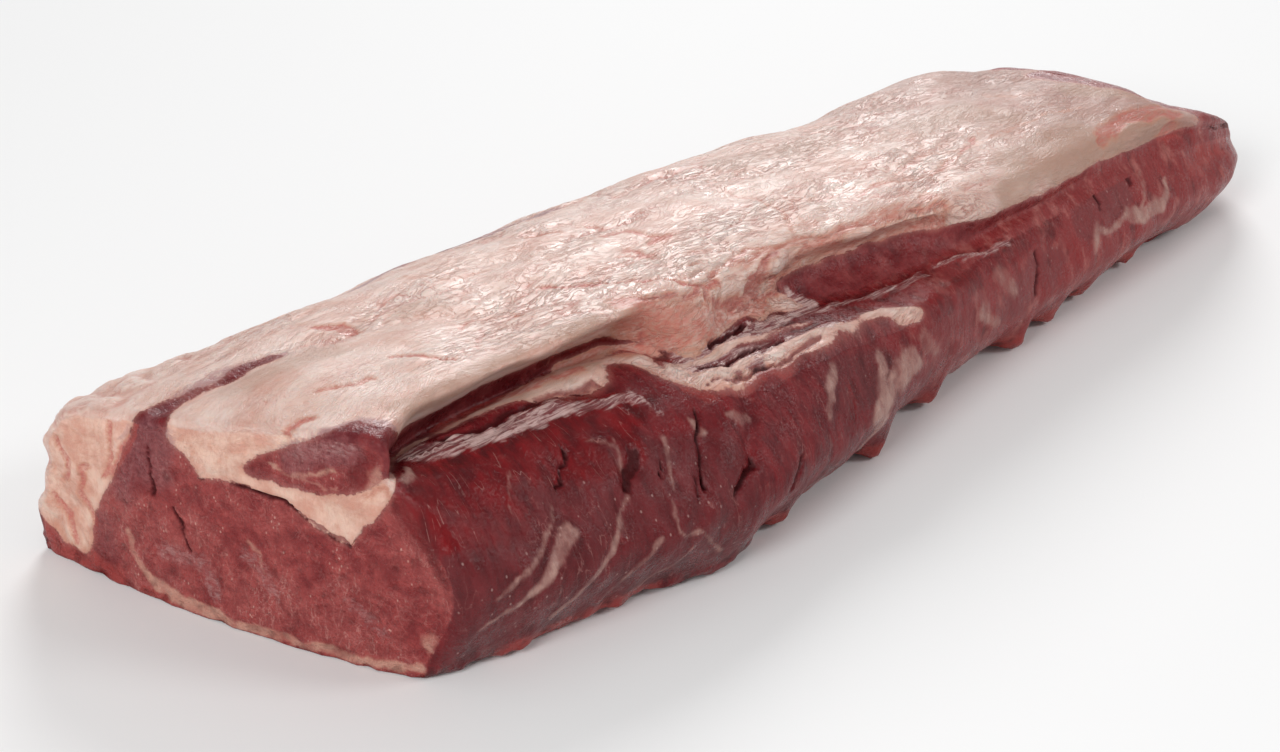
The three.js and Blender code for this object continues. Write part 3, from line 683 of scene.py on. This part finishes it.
def add_attribute(mesh, name, values):
    attribute = mesh.attributes.new(name, "FLOAT", "POINT")
    attribute.data.foreach_set("value", values.astype(np.float32))


def dress(mesh):
    """Moves the skin out by its fine relief, and gives the fields of its vertices."""
    points, normals = vertex_array(mesh, "co") / MM, vertex_array(mesh, "normal")
    fields = skin_fields(mesh)
    height = fine_relief(points, fields)
    # How far each point lies below its smoothed surroundings; the materials paint shade in the hollows
    # and highlight on the crests from it.
    hollow = spread(height, edge_pairs(mesh), HOLLOW_ROUNDS) - height
    fields["hollow"] = np.clip(0.5 + HOLLOW_GAIN * hollow, 0, 1)
    points = points + normals * height[:, None]
    points[:, 2] = np.maximum(points[:, 2], 0)
    mesh.vertices.foreach_set("co", (points * MM).ravel())
    mesh.update()
    return fields


# ---- Pieces ----

LOOK_OFF = 0.005  # how far off a face its look at the other solids begins
TOUCH = 0.9  # a face with another solid this near in front of it is an inner face
REACH_OUT = 3.0  # how far the cutters reach out of the skin
CLOSE_UP = 0.3  # a little over half of the gap between the solids
WELD = 0.0005
CLEANINGS = 3  # rounds in which a face takes the side of the faces round it
SCRAP_SHARE = 0.02
SHARP = math.radians(50)
# Millimetres outward, so that no two skins lie in one where pieces overlap.
LIFTS = {"eye_muscle": 0, "cap_muscle": 0.03, "fat_cap": 0.06, "ledge_fat": 0.09, "seam_fat": 0.12}


def outer_faces(bm, others):
    """The solid's faces that no other solid backs."""
    outer = set()
    for face in bm.faces:
        start = face.calc_center_median() + face.normal * LOOK_OFF
        if others.ray_cast(start, face.normal, TOUCH)[2] is None:
            outer.add(face)
    for _ in range(CLEANINGS):
        near = {f: [g in outer for e in f.edges for g in e.link_faces if g != f] for f in bm.faces}
        outer = {f for f, them in near.items() if sum(them) + (f in outer) >= 2 + (len(them) > 3)}
    return sorted(outer, key=lambda face: face.index)


def drawn_out(bm, outer):
    """Moves the outer faces out along their normals, with walls behind them."""
    normals, region = {}, dict.fromkeys(outer)
    for face in outer:
        region.update(dict.fromkeys(face.edges))
        for vertex in face.verts:
            normals[vertex] = normals.get(vertex, Vector()) + face.normal * face.calc_area()
    region.update(dict.fromkeys(normals))
    outward = [normal.normalized() for normal in normals.values()]
    nearest = tree_of_points(np.array([vertex.co for vertex in normals]))
    made = bmesh.ops.extrude_face_region(bm, geom=list(region))
    for item in made["geom"]:
        if isinstance(item, bmesh.types.BMVert):
            item.co += outward[nearest.find(item.co)[1]] * REACH_OUT


def cutter(name):
    """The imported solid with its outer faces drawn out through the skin."""
    others, _ = tree_of([n for n in frame["nodes"] if n != name])
    bm = bmesh.new()
    bm.from_mesh(frame["nodes"][name].data)
    bmesh.ops.scale(bm, vec=(1 / MM,) * 3, verts=bm.verts)
    bmesh.ops.remove_doubles(bm, verts=bm.verts, dist=WELD)
    bm.normal_update()
    drawn_out(bm, outer_faces(bm, others))
    bmesh.ops.triangulate(bm, faces=bm.faces)
    bmesh.ops.subdivide_edges(bm, edges=bm.edges, cuts=1)
    bmesh.ops.triangulate(bm, faces=bm.faces)
    bm.normal_update()
    for vertex in bm.verts:
        vertex.co += vertex.normal * CLOSE_UP
    mesh = bpy.data.meshes.new("cutter_" + name)
    bm.to_mesh(mesh)
    bm.free()
    points = vertex_array(mesh, "co")
    mesh.vertices.foreach_set("co", ((points - warp_at(points)) * MM).ravel())
    mesh.update()
    return mesh


def without_scraps(mesh):
    """Drops the loose crumbs that a cut can leave."""
    bm = bmesh.new()
    bm.from_mesh(mesh)
    left, islands = set(bm.verts), []
    while left:
        island, front = set(), [left.pop()]
        while front:
            vertex = front.pop()
            island.add(vertex)
            for edge in vertex.link_edges:
                other = edge.other_vert(vertex)
                if other in left:
                    left.discard(other)
                    front.append(other)
        islands.append(island)
    least = SCRAP_SHARE * len(bm.verts)
    small = [vertex for island in islands if len(island) < least for vertex in island]
    bmesh.ops.delete(bm, geom=small, context="VERTS")
    bm.to_mesh(mesh)
    bm.free()


def carry_fields(mesh):
    """Gives each vertex of a piece the fields of the skin's nearest vertex."""
    nearest = np.array([skin_tree.find(point)[1] for point in vertex_array(mesh, "co").tolist()])
    for name, values in skin_values.items():
        add_attribute(mesh, name, values[nearest])


def piece(whole, name):
    """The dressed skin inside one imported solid's cutter, as a closed piece of its own."""
    tool = new_object("cutter_" + name, cutter(name))
    cut = whole.modifiers.new("cut", "BOOLEAN")
    cut.operation, cut.solver, cut.object = "INTERSECT", "MANIFOLD", tool
    shape = whole.evaluated_get(bpy.context.evaluated_depsgraph_get())
    mesh = bpy.data.meshes.new_from_object(shape)
    mesh.name = name
    whole.modifiers.remove(cut)
    bpy.data.objects.remove(tool)
    without_scraps(mesh)
    if "custom_normal" in mesh.attributes:
        mesh.attributes.remove(mesh.attributes["custom_normal"])
    carry_fields(mesh)
    lifted = vertex_array(mesh, "co") + vertex_array(mesh, "normal") * LIFTS[name] * MM
    lifted[:, 2] = np.maximum(lifted[:, 2], 0)
    mesh.vertices.foreach_set("co", lifted.ravel())
    mesh.update()
    mesh.polygons.foreach_set("use_smooth", [True] * len(mesh.polygons))
    mesh.set_sharp_from_angle(angle=SHARP)
    return new_object(name + "_looks", mesh)


# ---- Materials ----

FAT_SPECULAR, FAT_SCATTER = 0.55, 0.35
LEAN_SPECULAR, LEAN_SCATTER = 0.33, 0.12
WET_IOR = 1.4
SCATTER_COLOURS, SCATTER_REACH = (1.0, 0.45, 0.32), 0.003
BUMP_REACH = 0.0009
# What levels each bump height round nought, so that no line shows where two of them meet.
CUT_LEVEL, SIDE_LEVEL, FAT_LEVEL = -1.65, -0.75, -0.17


class Graph:
    """Short ways to make shader nodes in one material."""

    def __init__(self, name):
        self.material = bpy.data.materials.new(name)
        self.material.use_nodes = True
        self.tree = self.material.node_tree
        self.shader = self.tree.nodes["Principled BSDF"]
        self.place = self.add("TexCoord").outputs["Object"]

    def fill(self, node, values):
        for key, value in values.items():
            socket = node.inputs[key]
            if isinstance(value, bpy.types.NodeSocket):
                self.tree.links.new(value, socket)
            elif isinstance(value, tuple) and socket.type == "RGBA":
                socket.default_value = (*value, 1)
            else:
                socket.default_value = value

    def add(self, kind, values=None, **settings):
        node = self.tree.nodes.new("ShaderNode" + kind)
        for key, value in settings.items():
            setattr(node, key, value)
        self.fill(node, values or {})
        return node

    def field(self, name):
        return self.add("Attribute", attribute_name=name).outputs["Fac"]

    def math(self, operation, *values):
        return self.add("Math", dict(enumerate(values)), operation=operation).outputs[0]

    def times(self, value, *shares):
        for share in shares:
            value = self.math("MULTIPLY", value, share)
        return value

    def weigh(self, start, *parts):
        """The start plus each part's value times its weight."""
        for value, weight in parts:
            start = self.math("MULTIPLY_ADD", value, weight, start)
        return start

    def scaled(self, size, place=None):
        """Coordinates with one unit for each feature of that size in millimetres."""
        sizes = size if isinstance(size, tuple) else (size,) * 3
        scale = tuple(1 / (MM * x) for x in sizes)
        values = {"Vector": place or self.place, "Scale": scale}
        return self.add("Mapping", values).outputs["Vector"]

    def wandering(self, size, reach):
        """Object coordinates that wander across the length, so that lines along it curve."""
        values = {"Vector": self.scaled(size), "Scale": 1, "Detail": 2}
        sway = self.add("TexNoise", values).outputs["Color"]
        values = {0: sway, 1: (0, reach * MM, reach * MM), 2: self.place}
        return self.add("VectorMath", values, operation="MULTIPLY_ADD").outputs[0]

    def noise(self, size, detail=3, rough=0.55, twist=0, place=None):
        values = {"Vector": self.scaled(size, place), "Scale": 1, "Detail": detail}
        values.update({"Roughness": rough, "Distortion": twist})
        return self.add("TexNoise", values).outputs["Fac"]

    def cells(self, size):
        values = {"Vector": self.scaled(size), "Scale": 1}
        return self.add("TexVoronoi", values).outputs["Distance"]

    def threads(self, size, width, twist=0.6, detail=3, place=None):
        """Thin wandering lines, 1 on the line and 0 beside it."""
        grain = self.noise(size, detail, 0.55, twist, place)
        away = self.math("ABSOLUTE", self.math("SUBTRACT", grain, 0.5))
        return self.step(away, 0, width, 1, 0)

    def step(self, value, low, high, to_low=0, to_high=1):
        values = dict(enumerate((value, low, high, to_low, to_high)))
        return self.add("MapRange", values, interpolation_type="SMOOTHSTEP").outputs["Result"]

    def mix(self, share, a, b):
        return self.add("Mix", {0: share, 6: a, 7: b}, data_type="RGBA").outputs[2]

    def over(self, colour, tint, *shares):
        """The tint laid over the colour, as much as the product of the shares."""
        return self.mix(self.times(*shares), colour, tint)

    def blend(self, share, a, b):
        return self.add("Mix", {0: share, 2: a, 3: b}, data_type="FLOAT").outputs[0]

    def edge(self, field, grain, width=0.08, reach=0.5):
        """A field cut off at its half value, with an edge as uneven as the grain."""
        uneven = self.times(self.math("SUBTRACT", grain, 0.5), reach)
        moved = self.math("ADD", self.field(field), uneven)
        return self.step(moved, 0.5 - width, 0.5 + width)


def mauve(g):
    """Pale purple skin over lean, with light flecks."""
    return g.mix(g.step(g.fine, 0.35, 0.7), (0.14, 0.035, 0.042), (0.27, 0.1, 0.105))


def cut_lean(g):
    """Fibre ends on the cut face, with small flecks of fat and faint light threads."""
    colour = g.mix(g.step(g.medium, 0.3, 0.7), (0.19, 0.018, 0.02), (0.35, 0.055, 0.052))
    colour = g.over(colour, (0.42, 0.1, 0.09), g.step(g.broad, 0.35, 0.7, 0, 0.55))
    colour = g.over(colour, (0.16, 0.012, 0.014), g.step(g.noise(2.4, 3, 0.7), 0.35, 0.68, 0, 0.4))
    webs = g.times(g.threads(5, 0.03, 0.8, 4), g.step(g.noise(14, 2), 0.4, 0.6))
    colour = g.over(colour, (0.5, 0.2, 0.18), webs, 0.3)
    flecks = g.times(g.step(g.cells((2.6, 1.8, 3)), 0.1, 0.22, 1, 0), g.step(g.noise(6, 2), 0.47, 0.62))
    colour = g.over(colour, (0.6, 0.34, 0.29), flecks, 0.7)
    lines = g.times(g.threads((7, 4, 12), 0.016), g.step(g.broad, 0.42, 0.6))
    colour = g.over(colour, (0.52, 0.23, 0.2), lines, 0.55)
    colour = g.over(colour, (0.17, 0.045, 0.05), g.edge("purple", g.medium, 0.3, 0.8), 0.6)
    return g.over(colour, mauve(g), g.edge("mauve", g.medium, 0.4, 1), 0.6)


def side_lean(g):
    """Lean under its skins: dark red with upright grain, veiled by a grey-purple membrane."""
    grain = g.step(g.upright, 0.25, 0.75)
    far = g.step(g.along, -0.06, 0.08)
    colour = g.mix(grain, (0.085, 0.004, 0.007), (0.19, 0.013, 0.016))
    colour = g.over(colour, (0.27, 0.034, 0.033), far, 0.7)
    colour = g.over(colour, (0.3, 0.07, 0.065), g.step(g.noise(3, 4, 0.7), 0.58, 0.72), 0.4)
    blots = g.step(g.noise((7, 10, 15), 4, 0.65), 0.5, 0.68)
    colour = g.over(colour, (0.42, 0.14, 0.12), blots, 0.6, far)
    veil = g.mix(grain, (0.085, 0.008, 0.01), (0.15, 0.019, 0.022))
    veil = g.over(veil, (0.24, 0.046, 0.046), far, 0.55)
    veil = g.over(veil, (0.5, 0.33, 0.3), g.step(g.cells((3.2, 5, 5)), 0.07, 0.14, 0.5, 0))
    colour = g.over(colour, veil, g.edge("purple", g.upright, 0.1, 0.8), 0.85)
    colour = g.over(colour, mauve(g), g.edge("mauve", g.upright, 0.3, 0.8), 0.8)
    pale = g.times(g.threads((4, 9, 22), 0.014, 0.4), g.step(g.broad, 0.42, 0.62))
    colour = g.over(colour, (0.4, 0.18, 0.16), pale, 0.35)
    under = g.mix(g.step(g.medium, 0.35, 0.65), (0.115, 0.0065, 0.01), (0.23, 0.038, 0.04))
    return g.over(colour, under, g.edge("strip", g.medium, 0.3, 0.4), 0.7)


def lean_colour(g):
    cut = g.field("cut")
    colour = g.mix(g.edge("cut", g.fine, 0.25, 0.3), side_lean(g), cut_lean(g))
    gloss_red = g.mix(g.step(g.upright, 0.3, 0.7), (0.085, 0.001, 0.003), (0.19, 0.005, 0.007))
    colour = g.over(colour, gloss_red, g.deep, 0.85)
    # Painted highlights: pale hair-thin lines over the glossy dark red.
    glint_lines = g.times(g.threads((4.5, 30, 70), 0.008, 0, 1), g.step(g.medium, 0.48, 0.6))
    colour = g.over(colour, (0.5, 0.24, 0.21), g.deep, glint_lines, 0.45)
    off_strip = g.step(g.field("strip"), 0.2, 0.8, 0.65, 0)
    colour = g.over(colour, (0.36, 0.05, 0.042), g.edge("rose", g.medium, 0.3, 0.9), off_strip)
    patchy = g.step(g.noise((6, 7, 9), 3, 0.55), 0.3, 0.6, 0.35, 0.9)
    film = g.mix(g.step(g.upright, 0.35, 0.65), (0.34, 0.17, 0.145), (0.46, 0.28, 0.235))
    film = g.mix(cut, film, (0.56, 0.29, 0.22))
    colour = g.over(colour, film, g.edge("film", g.medium, 0.42, 1), patchy)
    colour = g.over(colour, (0.4, 0.16, 0.135), g.step(g.field("fat"), 0.05, 0.5, 0, 0.4))
    # Painted shade: the lean is darkened where the relief sinks below its surroundings.
    pit_shade = g.step(g.field("hollow"), 0.55, 1)
    colour = g.over(colour, (0.05, 0.004, 0.005), pit_shade, g.blend(cut, 0.7, 0.3))
    # Pale silvery plies: white skin on the sides and top, and painted highlight (wet glints) on the cut
    # face.
    side_plies = g.noise((16, 1.3, 1.2), 4, 0.65, 0.5)
    plies = g.blend(cut, side_plies, g.noise((3, 4.5, 1.1), 4, 0.6, 0.8))
    silver = g.mix(g.step(plies, 0.38, 0.6), (0.2, 0.07, 0.075), (0.62, 0.44, 0.41))
    silver = g.over(silver, (0.4, 0.15, 0.15), cut, 0.5)
    shine = g.step(plies, 0.35, 0.55, 0.5, 0.85)
    return g.over(colour, silver, g.silver, shine, g.blend(cut, 1, 0.55))


def fat_colour(g):
    """Cream to pink, with red threads along the length."""
    tone = g.noise((22, 13, 13), 5, 0.6, 0.3, g.flow)
    colour = g.mix(g.step(tone, 0.3, 0.66), (0.74, 0.56, 0.49), (0.62, 0.37, 0.3))
    colour = g.over(colour, (0.75, 0.59, 0.53), g.step(g.broad, 0.45, 0.7, 0, 0.6))
    colour = g.over(colour, (0.73, 0.59, 0.53), g.step(g.grain, 0.42, 0.72, 0, 0.3))
    clusters = g.step(g.noise((30, 12, 12), 3, 0.6, 0.4), 0.42, 0.62)
    patchy = g.blend(clusters, 0.35, 1)
    creases = g.times(g.lines, g.blend(g.field("wrinkle"), 0.1, 0.7))
    colour = g.over(colour, (0.5, 0.19, 0.15), creases, patchy)
    # Pinker and darker in the hollows of the relief, partly the fat's own pink and partly painted
    # shade; lighter on the crests, a painted highlight.
    hollow_shade = g.step(g.field("hollow"), 0.54, 0.9, 0, 0.75)
    colour = g.over(colour, (0.56, 0.25, 0.2), hollow_shade, patchy)
    colour = g.over(colour, (0.82, 0.7, 0.64), g.step(g.field("hollow"), 0.15, 0.45, 0.25, 0))
    veins = g.threads((6, 1.9, 1.9), 0.035, 1.2, 3, g.flow)
    colour = g.over(colour, (0.52, 0.22, 0.18), veins, clusters, 0.55)
    colour = g.over(colour, (0.33, 0.16, 0.125), g.step(g.along, 0.03, 0.2, 0, 0.75))
    colour = g.over(colour, (0.42, 0.25, 0.185), g.edge("beige", g.medium, 0.4, 0.5), 0.8)
    on_cut = g.mix(g.step(g.noise(9, 4, 0.65), 0.35, 0.65), (0.8, 0.54, 0.43), (0.62, 0.3, 0.22))
    on_cut = g.over(on_cut, (0.58, 0.23, 0.17), g.threads((14, 3.5, 16), 0.03, 0.8), 0.2)
    colour = g.over(colour, on_cut, g.edge("cut", g.fine, 0.3, 0.4), 0.8)
    colour = g.over(colour, (0.55, 0.25, 0.19), g.step(g.field("fat"), 0.5, 0.95, 0.45, 0))
    dull = g.mix(g.step(g.grain, 0.35, 0.65), (0.24, 0.1, 0.115), (0.42, 0.22, 0.22))
    colour = g.over(colour, dull, g.edge("mauve", g.grain, 0.3, 1.4), 0.8)
    broken = g.step(g.noise((4.5, 1.3, 1.3), 4, 0.7), 0.36, 0.6, 0.35, 0.9)
    sore = g.mix(g.step(g.field("rose"), 0.55, 0.9), (0.53, 0.225, 0.145), (0.5, 0.14, 0.11))
    return g.over(colour, sore, g.edge("rose", g.grain, 0.45, 1.1), broken)


def meat_material(name, specular, scatter):
    g = Graph(name)
    g.fine = g.noise(1.6, 4, 0.6)
    g.medium = g.noise(6, 4, 0.6)
    g.broad = g.noise(24, 3, 0.5)
    g.flow = g.wandering((70, 45, 45), 40)
    g.along = g.add("SeparateXYZ", {0: g.place}).outputs[0]
    g.grain = g.noise((5, 1.9, 1.9), 4, 0.65, 0.4, g.flow)
    g.upright = g.noise((4.5, 10, 16), 5, 0.62)
    g.lines = g.threads((9, 3, 3), 0.06, 1.2, 4, g.flow)
    g.deep = g.edge("deep", g.medium, 0.22, 0.9)
    # White skin, and on the cut face painted highlight.
    g.silver = g.edge("silver", g.noise((11, 2.2, 2.4), 4, 0.6, 0.8), 0.25, 1.1)
    is_fat = g.edge("fat", g.fine, 0.09, 0.45)
    shaded_crack = g.edge("shaded_crack", g.fine, 0.25, 0.5)

    # Painted shade: cracks, and the lean round them, are darkened, and the fat in them too.
    lean = g.over(lean_colour(g), (0.12, 0.004, 0.007), g.step(g.field("shaded_crack"), 0.02, 0.5, 0, 0.75))
    lean = g.over(lean, (0.045, 0.0, 0.001), shaded_crack, 0.9)
    fat = g.over(fat_colour(g), (0.25, 0.06, 0.055), shaded_crack, 0.8)

    wet = g.step(g.noise(9, 3, 0.6), 0.4, 0.6)
    lean_rough = g.blend(wet, 0.42, g.step(g.fine, 0.3, 0.7, 0.14, 0.28))
    lean_rough = g.blend(g.math("MAXIMUM", g.deep, g.silver), lean_rough, 0.15)
    lean_rough = g.blend(shaded_crack, lean_rough, 0.6)
    fat_rough = g.blend(wet, 0.46, g.step(g.grain, 0.3, 0.7, 0.27, 0.4))
    fat_rough = g.blend(g.field("beige"), fat_rough, 0.42)

    cut_height = g.weigh(CUT_LEVEL, (g.medium, 1.8), (g.fine, 1.5))
    side_height = g.weigh(SIDE_LEVEL, (g.fine, 0.5), (g.upright, 1))
    creases = g.times(g.lines, g.blend(g.field("wrinkle"), 0.25, 1))
    threads = g.noise((3, 0.9, 0.9))
    fat_height = g.weigh(FAT_LEVEL, (g.grain, 0.25), (creases, -0.3), (threads, 0.2))
    lean_height = g.blend(g.edge("cut", 0.5), side_height, cut_height)
    height = g.blend(is_fat, lean_height, fat_height)
    relief = g.add("Bump", {"Height": height, "Strength": 1, "Distance": BUMP_REACH})
    g.fill(g.shader, {
        "Base Color": g.mix(is_fat, lean, fat),
        "Roughness": g.blend(is_fat, lean_rough, fat_rough),
        "Normal": relief.outputs["Normal"],
        "IOR": WET_IOR,
        "Specular IOR Level": specular,
        "Subsurface Weight": scatter,
        "Subsurface Radius": SCATTER_COLOURS,
        "Subsurface Scale": SCATTER_REACH,
    })
    return g.material


skin, chart = build_skin()
skin_values = dress(skin)
skin_tree = tree_of_points(vertex_array(skin, "co"))
whole = new_object("whole", skin)
slots = {row["node"]: row["material_slot"] for row in frame["record"]["subparts"]}
for name in frame["nodes"]:
    made = piece(whole, name)
    look = (FAT_SPECULAR, FAT_SCATTER) if name in FAT_NODES else (LEAN_SPECULAR, LEAN_SCATTER)
    made.data.materials.clear()
    made.data.materials.append(meat_material(slots[name], *look))
    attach(made, "root")
    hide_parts(name)
bpy.data.objects.remove(whole)

# ---- Stage ----

FLOOR_HALF, FLOOR_DROP = 6, 0.0002  # metres, and how far the floor lies under the joint
LIGHTS_AIM = Vector((0, 0, 0.05))
LIGHTS = {  # place and size in metres, and watts
    "back": ((3.0, 2.85, 2.3), 2.0, 126),
    "left": ((-1.6, -0.5, 1.1), 0.8, 19),
    "right": ((0.9, -1.3, 1.2), 0.5, 9),
}
WORLD_LIGHT = 0.4

camera_data = bpy.data.cameras.new("camera")
camera_data.lens, camera_data.sensor_width = 75, 36
camera = new_object("camera", camera_data)
camera.location = (-0.6457, -0.5857, 0.4928)
camera.rotation_euler = (math.radians(60.33), 0, math.radians(-44.72))
bpy.context.scene.camera = camera

floor_mesh = bpy.data.meshes.new("floor")
corners = [(x * FLOOR_HALF, y * FLOOR_HALF, 0) for x, y in ((-1, -1), (1, -1), (1, 1), (-1, 1))]
floor_mesh.from_pydata(corners, [], [(0, 1, 2, 3)])
floor = new_object("floor", floor_mesh)
floor.location.z = -FLOOR_DROP
floor_look = Graph("floor")
floor_look.fill(floor_look.shader, {"Base Color": (0.86, 0.86, 0.86), "Roughness": 0.7})
floor_mesh.materials.append(floor_look.material)

for name, (place, size, watts) in LIGHTS.items():
    lamp = bpy.data.lights.new(name, "AREA")
    lamp.shape, lamp.size, lamp.energy = "DISK", size, watts
    light = new_object(name, lamp)
    light.location = place
    light.rotation_euler = (LIGHTS_AIM - light.location).to_track_quat("-Z", "Y").to_euler()

world = bpy.data.worlds.new("world")
world.use_nodes = True
world.node_tree.nodes["Background"].inputs[0].default_value = (1, 1, 1, 1)
world.node_tree.nodes["Background"].inputs[1].default_value = WORLD_LIGHT
bpy.context.scene.world = world
bpy.context.scene.view_settings.view_transform = "Standard"
